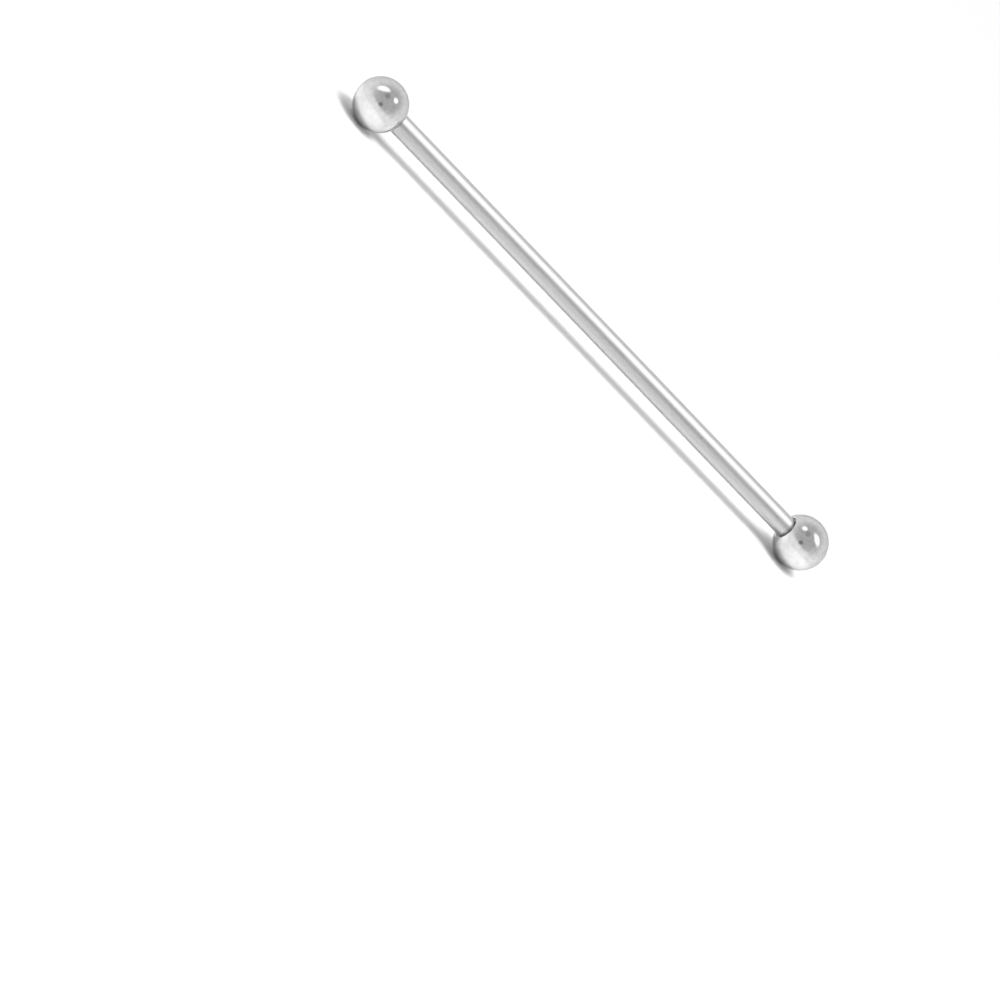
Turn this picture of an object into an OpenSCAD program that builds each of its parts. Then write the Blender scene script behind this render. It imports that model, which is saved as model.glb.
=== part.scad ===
// Industrial barbell: a long straight bar worn through two piercings,
// with a screw-on ball at each end. It lies on its two balls, along X.
// Lengths are in millimetres.

/* [Bar] */
// Diameter of the plain bar, 14 gauge
bar_d = 1.6; // [1.2:0.1:2]
// Length of the plain bar, from shoulder to shoulder
bar_l = 45; // [28:1:50]
// Bevel round each shoulder
shoulder_bevel = 0.08; // [0.02:0.02:0.12]

/* [Threaded tips] */
// Step down from the bar to the crest of the thread
tip_step = 0.2; // [0.15:0.05:0.3]
// Length of each tip beyond its shoulder
tip_l = 2.2; // [1.6:0.1:2.4]
// Plain neck between the shoulder and the thread
neck_l = 0.25; // [0.15:0.05:0.5]
// Bevel at the end of the tip
tip_bevel = 0.2; // [0.1:0.05:0.25]
// Distance from one crest of the thread to the next
pitch = 0.25; // [0.2:0.05:0.35]
// Depth of the thread
thread_depth = 0.15; // [0.08:0.01:0.18]

/* [Balls] */
// Diameter of each ball
ball_d = 4; // [3.5:0.5:6]
// Depth of the seat that takes the bar's shoulder
seat_depth = 0.15; // [0.1:0.05:0.2]
// Bevel round the mouth of the seat
mouth_bevel = 0.1; // [0.02:0.02:0.1]

/* [Clearances] */
// Gap round the bar in the seat
seat_gap = 0.06; // [0.02:0.02:0.1]
// Gap between the shoulder and the floor of the seat
shoulder_gap = 0.02; // [0.01:0.01:0.05]
// Gap round the thread in the ball's hole
thread_gap = 0.03; // [0.02:0.01:0.06]
// Gap between the end of the tip and the bottom of the hole
tip_gap = 0.2; // [0.1:0.05:0.4]

/* [Hidden] */
$fn = 96;

// The bar and its tips, by radius and by distance from the middle
bar_r = bar_d / 2;
shoulder_at = bar_l / 2;
tip_at = shoulder_at + tip_l;
thread_r = bar_r - tip_step;
root_r = thread_r - thread_depth;
thread_at = shoulder_at + neck_l;
turns = floor((tip_l - neck_l - tip_bevel) / pitch + 0.001);

// A thread's flats, as shares of its pitch
crest_flat = pitch / 8;
root_flat = pitch / 4;

// The ball's seat and hole, by radius and by distance from the ball's centre
ball_r = ball_d / 2;
seat_r = bar_r + seat_gap;
mouth_r = seat_r + mouth_bevel;
hole_r = thread_r + thread_gap;
mouth_at = sqrt(ball_r ^ 2 - mouth_r ^ 2);
seat_at = mouth_at - seat_depth;
hole_end = seat_at - shoulder_gap - tip_l - tip_gap;

// How far the tool that cuts the mouth runs out past the ball
runout = ball_r - mouth_at + 0.2;

// Distance of each ball's centre from the middle of the bar
ball_at = shoulder_at + shoulder_gap + seat_at;

// Groove of one turn, from its outer end to its inner end
function groove(start) = [
    [thread_r, start + pitch - crest_flat / 2],
    [root_r, start + (pitch + root_flat) / 2],
    [root_r, start + (pitch - root_flat) / 2],
    [thread_r, start + crest_flat / 2],
];

// One end of the bar, from the axis at the end of its tip to the edge of its shoulder
function end_outline() = [
    [0, tip_at],
    [thread_r - tip_bevel, tip_at],
    [thread_r, tip_at - tip_bevel],
    for (turn = [turns - 1:-1:0]) each groove(thread_at + turn * pitch),
    [thread_r, shoulder_at],
    [bar_r - shoulder_bevel, shoulder_at],
    [bar_r, shoulder_at - shoulder_bevel],
];

// The same points seen from the other end, in the opposite order
function mirrored(points) = [
    for (i = [len(points) - 1:-1:0]) [points[i][0], -points[i][1]],
];

// Seat and hole of a ball, from the axis outside its mouth to the bottom of the hole
function hole_outline() = [
    [0, mouth_at + runout],
    [mouth_r + runout, mouth_at + runout],
    [seat_r, mouth_at - mouth_bevel],
    [seat_r, seat_at],
    [hole_r, seat_at],
    [hole_r, hole_end],
    [0, hole_end],
];

// What is turned about Z, laid along X at the height of the balls' centres
module lay_down() {
    translate([0, 0, ball_r])
        rotate([90, 0, 90])
            children();
}

// The bar with its two threaded tips. The thread is drawn as rings, one to each turn.
module bar() {
    color("lightsteelblue")
        lay_down()
            rotate_extrude()
                polygon(concat(end_outline(), mirrored(end_outline())));
}

// A ball about its own centre, with its hole open towards +Z
module drilled_ball() {
    difference() {
        sphere(r = ball_r);
        rotate_extrude()
            polygon(hole_outline());
    }
}

// The ball at -X, with its hole towards the bar
module front_ball() {
    color("silver")
        lay_down()
            translate([0, 0, -ball_at])
                drilled_ball();
}

// The ball at +X, turned round
module back_ball() {
    color("silver")
        lay_down()
            translate([0, 0, ball_at])
                rotate([0, 180, 0])
                    drilled_ball();
}

bar();
front_ball();
back_ball();
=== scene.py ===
"""An industrial barbell of polished surgical steel, lying on its two balls."""

import math

import bmesh
import bpy
from mathutils import Matrix, Vector


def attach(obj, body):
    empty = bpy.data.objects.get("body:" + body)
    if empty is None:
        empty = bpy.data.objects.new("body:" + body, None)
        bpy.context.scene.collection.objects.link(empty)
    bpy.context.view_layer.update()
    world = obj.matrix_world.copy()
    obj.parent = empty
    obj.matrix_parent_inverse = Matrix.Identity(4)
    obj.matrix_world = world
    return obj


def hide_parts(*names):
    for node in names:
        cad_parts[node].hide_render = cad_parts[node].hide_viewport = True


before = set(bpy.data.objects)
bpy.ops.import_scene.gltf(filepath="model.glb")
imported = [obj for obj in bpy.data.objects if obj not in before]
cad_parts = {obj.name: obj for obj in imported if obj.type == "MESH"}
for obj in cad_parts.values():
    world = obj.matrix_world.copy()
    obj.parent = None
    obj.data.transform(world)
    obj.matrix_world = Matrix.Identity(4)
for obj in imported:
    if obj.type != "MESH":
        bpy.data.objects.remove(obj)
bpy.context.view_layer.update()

MM = 0.001

# The bar and its threaded tips, as in the solids
BAR_R = 0.8 * MM
SHOULDER_AT = 22.5 * MM
SHOULDER_BEVEL = 0.08 * MM
TIP_AT = 24.7 * MM
TIP_BEVEL = 0.2 * MM
THREAD_R = 0.6 * MM
THREAD_AT = 22.75 * MM
THREAD_END = 24.5 * MM
THREAD_DEPTH = 0.15 * MM
PITCH = 0.25 * MM

# The thread's flats, as shares of its pitch
CREST_FLAT = 1 / 8
ROOT_FLAT = 1 / 4

# The balls, their seats and their tapped holes, as in the solids
BALL_R = 2 * MM
SEAT_R = 0.86 * MM
SEAT_DEPTH = 0.15 * MM
MOUTH_BEVEL = 0.1 * MM
HOLE_R = 0.63 * MM
HOLE_DEPTH = 2.42 * MM
SHOULDER_GAP = 0.02 * MM
MOUTH_R = SEAT_R + MOUTH_BEVEL
MOUTH_AT = math.sqrt(BALL_R**2 - MOUTH_R**2)
SEAT_AT = MOUTH_AT - SEAT_DEPTH
HOLE_END = SEAT_AT - HOLE_DEPTH
BALL_AT = SHOULDER_AT + SHOULDER_GAP + SEAT_AT
AXIS_HEIGHT = BALL_R

# How far an edge is rounded by buffing
BUFFED_EDGE = 0.015 * MM

# How finely the turned shapes are divided
TURN_STEPS = 192
BALL_ARC_STEPS = 120
BAR_RINGS = 30
RINGS_PER_PITCH = 16
RING = PITCH / RINGS_PER_PITCH
BUFFED_STEPS = 3

# Two points closer than this are at one place
SAME_PLACE = 0.001 * MM

# A face that lies deeper than this in a ball isn't on its outside
BALL_SKIN = 0.01 * MM

# An edge that turns by more than this stays sharp
SHARP_EDGE = math.radians(35)

# Where the picture shows the barbell, in pixels of its 1000 by 1000 frame
PICTURE_PX = 1000
PX_PER_MM = 14.2
MIDDLE_PX = (591.9, 324.8)
BALL_PX = BALL_R / MM * PX_PER_MM

# The bar's slope in the picture, its tilt towards the camera and the camera's turn about it
SLOPE = math.radians(46.01)
TILT = math.radians(27.8)
ROLL = math.radians(18)

# A long lens keeps both balls the same size, as in the picture
LENS_MM = 1000
SENSOR_MM = 36

# The balls' highlights in the picture, in pixels to the right of and below a ball's centre
FRONT_LONG_GLOW = (3.3, -15.7)
FRONT_SMALL_GLOW = (15.2, -3.6)
BACK_LONG_GLOW = (16.5, -2.9)
BACK_SMALL_GLOW = (4.2, -14.2)

# How each long highlight slopes, and the highlights' lengths and widths to their faint edges
FRONT_GLOW_SLOPE = math.radians(17)
BACK_GLOW_SLOPE = math.radians(70)
LONG_GLOW_PX = (16.5, 8.8)
SMALL_GLOW_PX = (7, 7)

# Where the balls mirror the darkest part of the room, and a grey card in it
DARK_ROOM_AT = (8.5, -5.7)
GREY_CARD_AT = (7, -8.4)

# The soft boxes' distance in metres, and their radiance in the middle
LIGHT_DISTANCE = 1
BALL_RADIANCE = 1.9
BAR_RADIANCE = 1.95
PAPER_RADIANCE = 13.5

# Where the light of the bar and of the paper comes from, and the soft boxes' sizes along X
# and across it, as angles in radians
BAR_LIGHT_FROM = Vector((0, -0.21, 1))
BAR_LIGHT_ANGLES = (5, 2)
PAPER_LIGHT_FROM = Vector((0.1, -0.25, 1))
PAPER_LIGHT_ANGLES = (1, 1)

# Painted light on the paper: it is painted white along a strip under the bar, which offsets the
# bar's
# shadow, and in a pool of light before each ball, which the balls mirror. It is pale further off:
# white up to the first distance of each fade, pale from the second
PAINTED_LIGHT_STRIP_HALF = 19 * MM
PAINTED_LIGHT_STRIP_FADE = (1 * MM, 4 * MM)
PAINTED_LIGHT_POOL = (BALL_AT + 1.5 * MM, 4 * MM, 0)
PAINTED_LIGHT_POOL_FADE = (1.5 * MM, 7 * MM)

# Half the width of the sheet of paper, in metres
FLOOR_HALF = 1.5

# Noise seldom leaves this range
NOISE_LOW = 0.3
NOISE_HIGH = 0.7

# A Mix node's sockets for colours, by number, because other sockets have the same names
MIX_FACTOR = 0
MIX_FIRST = 6
MIX_SECOND = 7
MIX_RESULT = 2

X_AXIS = Vector((1, 0, 0))
Z_AXIS = Vector((0, 0, 1))


def linear(hex_colour):
    """The linear colour of an sRGB hex value."""
    parts = [int(hex_colour[i : i + 2], 16) / 255 for i in (1, 3, 5)]
    return [p / 12.92 if p <= 0.04045 else ((p + 0.055) / 1.055) ** 2.4 for p in parts] + [1]


def add_node(tree, kind, links=(), inputs=(), **settings):
    """A node with its settings, its inputs' values and links into its inputs."""
    node = tree.nodes.new(kind)
    for name, value in settings.items():
        setattr(node, name, value)
    for name, value in dict(inputs).items():
        node.inputs[name].default_value = value
    for name, source in dict(links).items():
        tree.links.new(source, node.inputs[name])
    return node


def new_material(name):
    """A material, its node tree and its shader."""
    material = bpy.data.materials.new(name)
    material.use_nodes = True
    tree = material.node_tree
    return material, tree, tree.nodes["Principled BSDF"]


def patches(tree, size, detail=3, stretch=1):
    """Soft noise in patches about as wide as the size, and longer along the bar by the stretch."""
    place = add_node(tree, "ShaderNodeTexCoord").outputs["Object"]
    scaled = add_node(
        tree,
        "ShaderNodeMapping",
        links={"Vector": place},
        inputs={"Scale": (1 / (size * stretch), 1 / size, 1 / size)},
    ).outputs["Vector"]
    return add_node(
        tree,
        "ShaderNodeTexNoise",
        links={"Vector": scaled},
        inputs={"Scale": 1, "Detail": detail, "Roughness": 0.6},
    ).outputs["Fac"]


def finish_steel(tree, shader, colours, roughness, clouds, relief, depth):
    """Bare steel whose colour and roughness follow one pattern, and its surface another."""
    shader.inputs["Metallic"].default_value = 1
    share = add_node(
        tree,
        "ShaderNodeMapRange",
        links={"Value": clouds},
        inputs={"From Min": NOISE_LOW, "From Max": NOISE_HIGH},
    ).outputs["Result"]
    colour = add_node(
        tree,
        "ShaderNodeMix",
        data_type="RGBA",
        links={MIX_FACTOR: share},
        inputs={MIX_FIRST: linear(colours[0]), MIX_SECOND: linear(colours[1])},
    ).outputs[MIX_RESULT]
    dullness = add_node(
        tree,
        "ShaderNodeMapRange",
        links={"Value": share},
        inputs={"To Min": roughness[0], "To Max": roughness[1]},
    ).outputs["Result"]
    bump = add_node(
        tree,
        "ShaderNodeBump",
        links={"Height": relief},
        inputs={"Strength": 1, "Distance": depth},
    ).outputs["Normal"]
    tree.links.new(colour, shader.inputs["Base Color"])
    tree.links.new(dullness, shader.inputs["Roughness"])
    tree.links.new(bump, shader.inputs["Normal"])


def mirror_polished_steel():
    """Surgical steel, tumbled and buffed: clear reflections, faint clouds, a slightly dark rim."""
    material, tree, shader = new_material("mirror_polished_surgical_steel")
    shader.inputs["Specular Tint"].default_value = linear("#D2D2D2")
    haze = patches(tree, 0.3 * MM)
    ripple = patches(tree, 0.5 * MM, detail=1)
    colours = ("#D3D3D3", "#E3E3E3")
    finish_steel(tree, shader, colours, (0.07, 0.15), haze, ripple, 0.0015 * MM)
    return material


def drawn_bar_steel():
    """Surgical steel drawn to size and polished: lines along the bar spread light round it.

    The real lines are too fine to show, so they are drawn 0.16 mm wide.
    """
    material, tree, shader = new_material("drawn_polished_surgical_steel")
    shader.inputs["Anisotropic"].default_value = 0.3
    tangent = add_node(tree, "ShaderNodeTangent", direction_type="RADIAL", axis="X")
    tree.links.new(tangent.outputs["Tangent"], shader.inputs["Tangent"])
    lines = patches(tree, 0.16 * MM, stretch=14)
    colours = ("#C0C0C0", "#C4C4C4")
    finish_steel(tree, shader, colours, (0.24, 0.34), lines, lines, 0.0005 * MM)
    return material


def cut_thread_steel():
    """Surgical steel as the die and the tap leave it: torn, duller and a little darker."""
    material, tree, shader = new_material("cut_surgical_steel")
    torn = patches(tree, 0.05 * MM)
    colours = ("#A3A3A5", "#AFAFB1")
    finish_steel(tree, shader, colours, (0.2, 0.34), torn, torn, 0.001 * MM)
    return material


def draw_outline(bm, points, start=None):
    """Edges through (radius, distance) points beside the Z axis, going on from vertex start."""
    verts = [start] if start else []
    verts += [bm.verts.new((radius, 0, distance)) for radius, distance in points]
    for pair in zip(verts, verts[1:]):
        bm.edges.new(pair)


def turn_outline(bm):
    """Spins the drawn outline about Z into a closed shape."""
    bmesh.ops.spin(
        bm,
        geom=bm.verts[:] + bm.edges[:],
        axis=(0, 0, 1),
        angle=math.tau,
        steps=TURN_STEPS,
        use_merge=True,
    )
    bmesh.ops.remove_doubles(bm, verts=bm.verts[:], dist=SAME_PLACE)
    bmesh.ops.recalc_face_normals(bm, faces=bm.faces[:])


def rings_at(bm, places):
    """The edges of the rings at the given (radius, distance) places."""

    def on(vert, place):
        apart = Vector((vert.co.xy.length - place[0], vert.co.z - place[1]))
        return apart.length < SAME_PLACE

    return [e for e in bm.edges if any(all(on(v, p) for v in e.verts) for p in places)]


def buff_edges(bm, places):
    """Rounds the rings at the given places, as polishing does."""
    bmesh.ops.bevel(
        bm,
        geom=rings_at(bm, places),
        offset=BUFFED_EDGE,
        offset_type="OFFSET",
        segments=BUFFED_STEPS,
        profile=0.5,
        affect="EDGES",
        material=-1,
    )


def thread_rings(end):
    """The distances of a thread's rings from the bar's middle, clear of an end by half a ring."""
    last = math.floor((end - THREAD_AT) / RING - 0.5)
    return [THREAD_AT + i * RING for i in range(last + 1)]


def cut_thread(bm, crest_r, end, bevel_at):
    """Cuts a right-hand thread whose first turn runs in, and moves its rings onto the helix.

    A point halfway between two rings always goes on to the next one, thanks to no_tie.
    Beyond bevel_at a tip gets thinner by as much as it gets longer.
    """
    no_tie = 0.01
    flank = 1 - CREST_FLAT - ROOT_FLAT
    for vert in bm.verts:
        radius = vert.co.xy.length
        if not 0 < radius < crest_r + SAME_PLACE:
            continue
        if not THREAD_AT + RING / 2 < abs(vert.co.z) < end - RING / 2:
            continue
        start = PITCH * math.atan2(vert.co.y, vert.co.x) / math.tau
        ring = math.floor((vert.co.z - start) / RING + 0.5 + no_tie)
        vert.co.z = start + ring * RING
        from_root = abs(ring / RINGS_PER_PITCH % 1 - 0.5) * 2
        cut = min(max((1 - CREST_FLAT - from_root) / flank, 0), 1)
        run_in = min((abs(vert.co.z) - THREAD_AT) / PITCH, 1)
        thread_r = crest_r - THREAD_DEPTH * run_in * cut
        blank_r = crest_r - max(abs(vert.co.z) - bevel_at, 0)
        vert.co.xy *= min(thread_r, blank_r) / radius


def finish_piece(bm, name, node, materials):
    """Lays a turned shape along X at its height, as a piece that stands for a CAD node.

    The shortest diagonals of its faces follow the thread.
    """
    bmesh.ops.triangulate(bm, faces=bm.faces[:], quad_method="SHORT_EDGE")
    lay_down = Matrix.Rotation(math.radians(90), 4, "Y")
    lift = Matrix.Translation((0, 0, AXIS_HEIGHT))
    bmesh.ops.transform(bm, matrix=lift @ lay_down, verts=bm.verts[:])
    mesh = bpy.data.meshes.new(name)
    bm.to_mesh(mesh)
    bm.free()
    for material in materials:
        mesh.materials.append(material)
    mesh.shade_smooth()
    mesh.set_sharp_from_angle(angle=SHARP_EDGE)
    piece = bpy.data.objects.new(name, mesh)
    bpy.context.scene.collection.objects.link(piece)
    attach(piece, node)
    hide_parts(node)
    return piece


def make_bar(polished, cut):
    """The bar with its two tips, turned in one piece, with a right-hand thread on each tip."""
    bm = bmesh.new()
    end = [
        (0, TIP_AT),
        (THREAD_R - TIP_BEVEL, TIP_AT),
        *[(THREAD_R, distance) for distance in reversed(thread_rings(TIP_AT))],
        (THREAD_R, SHOULDER_AT),
        (BAR_R - SHOULDER_BEVEL, SHOULDER_AT),
    ]
    plain = SHOULDER_AT - SHOULDER_BEVEL
    middle = [(BAR_R, plain * (1 - 2 * i / BAR_RINGS)) for i in range(BAR_RINGS + 1)]
    other_end = [(radius, -distance) for radius, distance in reversed(end)]
    draw_outline(bm, end + middle + other_end)
    turn_outline(bm)
    cut_thread(bm, THREAD_R, end=TIP_AT, bevel_at=THREAD_END)
    buff_edges(bm, [(BAR_R, plain), (BAR_R, -plain)])
    for face in bm.faces:
        face.material_index = int(abs(face.calc_center_median().z) > SHOULDER_AT)
    return finish_piece(bm, "polished_bar", "bar", [polished, cut])


def make_ball(side, name, node, polished, cut):
    """The ball at -X or +X, by its side, with its seat and tapped hole towards the bar."""
    bm = bmesh.new()

    def at(inward):
        """The place on the bar's axis that is so far inward of the ball's centre."""
        return side * (BALL_AT - inward)

    pole = bm.verts.new((0, 0, at(-BALL_R)))
    mouth_angle = math.asin(MOUTH_R / BALL_R)
    spun = bmesh.ops.spin(
        bm,
        geom=[pole],
        cent=(0, 0, at(0)),
        axis=(0, side, 0),
        angle=math.pi - mouth_angle,
        steps=BALL_ARC_STEPS,
    )
    rim = next(item for item in spun["geom_last"] if isinstance(item, bmesh.types.BMVert))
    bottom = BALL_AT - HOLE_END
    mouth = (MOUTH_R, at(MOUTH_AT))
    seat_edge = (SEAT_R, at(MOUTH_AT - MOUTH_BEVEL))
    inside = [
        seat_edge,
        (SEAT_R, at(SEAT_AT)),
        (HOLE_R, at(SEAT_AT)),
        *[(HOLE_R, side * distance) for distance in thread_rings(bottom)],
        (HOLE_R, at(HOLE_END)),
        (0, at(HOLE_END)),
    ]
    draw_outline(bm, inside, start=rim)
    turn_outline(bm)
    cut_thread(bm, HOLE_R, end=bottom, bevel_at=math.inf)
    buff_edges(bm, [mouth, seat_edge])
    for face in bm.faces:
        middle = face.calc_center_median()
        inward = BALL_AT - abs(middle.z)
        face.material_index = int(
            middle.xy.length < SEAT_R + SAME_PLACE
            and inward < MOUTH_AT - MOUTH_BEVEL
            and math.hypot(middle.xy.length, inward) < BALL_R - BALL_SKIN
        )
    return finish_piece(bm, name, node, [polished, cut])


def camera_axes():
    """Unit vectors from the barbell to the camera, and right and up in the picture."""
    to_camera = Vector(
        (
            -math.sin(TILT),
            -math.cos(TILT) * math.cos(ROLL),
            math.cos(TILT) * math.sin(ROLL),
        )
    )
    along = (X_AXIS - to_camera * to_camera.x).normalized()
    across = to_camera.cross(along)
    right = along * math.cos(SLOPE) + across * math.sin(SLOPE)
    up = across * math.cos(SLOPE) - along * math.sin(SLOPE)
    return to_camera, right, up


def mirrored_at(right_px, down_px):
    """The direction that a ball reflects to the camera, at pixels from the ball's centre."""
    to_camera, right, up = camera_axes()
    normal = (right * right_px - up * down_px) / BALL_PX
    normal += to_camera * math.sqrt(1 - normal.length_squared)
    return 2 * normal.dot(to_camera) * normal - to_camera


def make_camera():
    """A long lens at the picture's angle, framed as the picture is."""
    to_camera, right, up = camera_axes()
    data = bpy.data.cameras.new("camera")
    data.lens, data.sensor_width = LENS_MM, SENSOR_MM
    frame_width = PICTURE_PX / PX_PER_MM * MM
    distance = frame_width * LENS_MM / SENSOR_MM
    data.clip_start, data.clip_end = distance / 10, distance * 10
    half = PICTURE_PX / 2
    aim = (
        Vector((0, 0, AXIS_HEIGHT))
        - right * (MIDDLE_PX[0] - half) / PX_PER_MM * MM
        - up * (half - MIDDLE_PX[1]) / PX_PER_MM * MM
    )
    camera = bpy.data.objects.new("camera", data)
    bpy.context.scene.collection.objects.link(camera)
    turned = Matrix((right, up, to_camera)).transposed().to_4x4()
    camera.matrix_world = Matrix.Translation(aim + to_camera * distance) @ turned
    bpy.context.scene.camera = camera


def paper_with_painted_light():
    """Matt paper with painted light: whiter along the bar against its shadow, and in a pool before
    each ball.
    """
    material, tree, shader = new_material("matt_paper_with_painted_light")
    shader.inputs["Roughness"].default_value = 0.8
    place = add_node(tree, "ShaderNodeTexCoord").outputs["Object"]
    folded = add_node(
        tree, "ShaderNodeVectorMath", links={0: place}, operation="ABSOLUTE"
    ).outputs["Vector"]
    under_bar = add_node(
        tree,
        "ShaderNodeVectorMath",
        links={0: folded},
        inputs={1: (PAINTED_LIGHT_STRIP_HALF, 0, 0)},
        operation="MINIMUM",
    ).outputs["Vector"]

    def fade(limits, links, inputs=()):
        """A factor that goes from 0 to 1 between two distances from a place."""
        distance = add_node(
            tree,
            "ShaderNodeVectorMath",
            links={0: folded, **links},
            inputs=inputs,
            operation="DISTANCE",
        )
        return add_node(
            tree,
            "ShaderNodeMapRange",
            links={"Value": distance.outputs["Value"]},
            inputs={"From Min": limits[0], "From Max": limits[1]},
            interpolation_type="SMOOTHSTEP",
        ).outputs["Result"]

    # Painted light: distances from the strip painted white under the bar and from the pool painted
    # before each ball
    from_painted_strip = fade(PAINTED_LIGHT_STRIP_FADE, {1: under_bar})
    from_painted_pool = fade(PAINTED_LIGHT_POOL_FADE, {}, {1: PAINTED_LIGHT_POOL})
    outside_painted_light = add_node(
        tree, "ShaderNodeMath", links={0: from_painted_strip, 1: from_painted_pool}, operation="MINIMUM"
    ).outputs["Value"]
    # Painted light: the paper's pale colour turns to painted white near the bar and before the
    # balls
    colour = add_node(
        tree,
        "ShaderNodeMix",
        data_type="RGBA",
        links={MIX_FACTOR: outside_painted_light},
        inputs={MIX_FIRST: linear("#F2F2F2"), MIX_SECOND: linear("#D8D8D8")},
    )
    tree.links.new(colour.outputs[MIX_RESULT], shader.inputs["Base Color"])
    return material


def make_floor():
    """A wide sheet of pale paper, with painted light round the barbell."""
    bm = bmesh.new()
    bmesh.ops.create_grid(bm, x_segments=1, y_segments=1, size=FLOOR_HALF)
    mesh = bpy.data.meshes.new("floor")
    bm.to_mesh(mesh)
    bm.free()
    mesh.materials.append(paper_with_painted_light())
    floor = bpy.data.objects.new("floor", mesh)
    bpy.context.scene.collection.objects.link(floor)
    return floor


def make_soft_box(name, lit, middle, direction, long_axis, angles, radiance):
    """An oval light for one piece alone, which fades towards its edge; its size is two angles.

    Parametric goes from 0 to 1 across the light.
    """
    away = direction.normalized()
    side = (long_axis - away * long_axis.dot(away)).normalized()
    data = bpy.data.lights.new(name, "AREA")
    data.shape = "ELLIPSE"
    data.size, data.size_y = [LIGHT_DISTANCE * angle for angle in angles]
    area = math.pi * data.size * data.size_y / 4
    data.energy = radiance * math.pi * area
    data.use_nodes = True
    tree = data.node_tree
    centre, edge = (0.5, 0.5, 0), 0.5
    from_centre = add_node(
        tree,
        "ShaderNodeVectorMath",
        links={0: add_node(tree, "ShaderNodeNewGeometry").outputs["Parametric"]},
        inputs={1: centre},
        operation="DISTANCE",
    )
    glow = add_node(
        tree,
        "ShaderNodeMapRange",
        links={"Value": from_centre.outputs["Value"]},
        inputs={"From Min": 0, "From Max": edge, "To Min": 1, "To Max": 0},
        interpolation_type="SMOOTHSTEP",
    )
    tree.links.new(glow.outputs["Result"], tree.nodes["Emission"].inputs["Strength"])
    light = bpy.data.objects.new(name, data)
    bpy.context.scene.collection.objects.link(light)
    turned = Matrix((side, away.cross(side), away)).transposed().to_4x4()
    light.matrix_world = Matrix.Translation(middle + away * LIGHT_DISTANCE) @ turned
    light.visible_camera = False
    receivers = bpy.data.collections.new(name)
    receivers.objects.link(lit)
    light.light_linking.receiver_collection = receivers


def light_ball(name, ball, side, glow_at, glow_px, slope):
    """A soft box whose reflection in a ball is where the picture has a highlight."""
    _, right, up = camera_axes()
    make_soft_box(
        name,
        ball,
        Vector((side * BALL_AT, 0, AXIS_HEIGHT)),
        mirrored_at(*glow_at),
        right * math.cos(slope) - up * math.sin(slope),
        [2 * px / BALL_PX for px in glow_px],
        BALL_RADIANCE,
    )


def make_soft_boxes(bar, front_ball, back_ball, floor):
    """A long and a small soft box for each ball, and one above each for the bar and the paper."""
    light_ball(
        "front_long_box", front_ball, -1, FRONT_LONG_GLOW, LONG_GLOW_PX, FRONT_GLOW_SLOPE
    )
    light_ball("front_small_box", front_ball, -1, FRONT_SMALL_GLOW, SMALL_GLOW_PX, 0)
    light_ball("back_long_box", back_ball, 1, BACK_LONG_GLOW, LONG_GLOW_PX, BACK_GLOW_SLOPE)
    light_ball("back_small_box", back_ball, 1, BACK_SMALL_GLOW, SMALL_GLOW_PX, 0)
    middle = Vector((0, 0, AXIS_HEIGHT))
    make_soft_box(
        "bar_box", bar, middle, BAR_LIGHT_FROM, X_AXIS, BAR_LIGHT_ANGLES, BAR_RADIANCE
    )
    make_soft_box(
        "paper_box",
        floor,
        middle,
        PAPER_LIGHT_FROM,
        X_AXIS,
        PAPER_LIGHT_ANGLES,
        PAPER_RADIANCE,
    )


def make_surroundings():
    """A white horizon that rises into grey, darkest before the balls, with a lens and a card."""
    to_camera, _, _ = camera_axes()
    world = bpy.data.worlds.new("studio")
    bpy.context.scene.world = world
    world.use_nodes = True
    tree = world.node_tree
    direction = add_node(tree, "ShaderNodeTexCoord").outputs["Generated"]

    def towards(axis, degrees, greys):
        """A grey that goes from one to the other between two angles to an axis."""
        cosine = add_node(
            tree,
            "ShaderNodeVectorMath",
            links={0: direction},
            inputs={1: axis},
            operation="DOT_PRODUCT",
        )
        return add_node(
            tree,
            "ShaderNodeMapRange",
            links={"Value": cosine.outputs["Value"]},
            inputs={
                "From Min": math.cos(math.radians(degrees[0])),
                "From Max": math.cos(math.radians(degrees[1])),
                "To Min": greys[0],
                "To Max": greys[1],
            },
            interpolation_type="SMOOTHSTEP",
        ).outputs["Result"]

    room = towards(mirrored_at(*DARK_ROOM_AT), degrees=(30, 85), greys=(0.52, 0.9))
    lens = towards(to_camera, degrees=(5, 12), greys=(0.4, 1))
    card = towards(mirrored_at(*GREY_CARD_AT), degrees=(5, 15), greys=(0.65, 1))
    horizon = towards(Z_AXIS, degrees=(77, 90), greys=(0, 1))
    grey = room
    for factor in (lens, card):
        grey = add_node(
            tree, "ShaderNodeMath", links={0: grey, 1: factor}, operation="MULTIPLY"
        ).outputs["Value"]
    strength = add_node(
        tree, "ShaderNodeMix", links={"Factor": horizon, "A": grey}, inputs={"B": 1}
    )
    background = tree.nodes["Background"]
    background.inputs["Color"].default_value = linear("#FFFFFF")
    tree.links.new(strength.outputs["Result"], background.inputs["Strength"])


make_camera()
ball_steel = mirror_polished_steel()
bar_steel = drawn_bar_steel()
thread_steel = cut_thread_steel()
bar = make_bar(bar_steel, thread_steel)
front_ball = make_ball(-1, "front_mirror_ball", "front_ball", ball_steel, thread_steel)
back_ball = make_ball(1, "back_mirror_ball", "back_ball", ball_steel, thread_steel)
make_soft_boxes(bar, front_ball, back_ball, make_floor())
make_surroundings()
bpy.context.scene.view_settings.view_transform = "Standard"
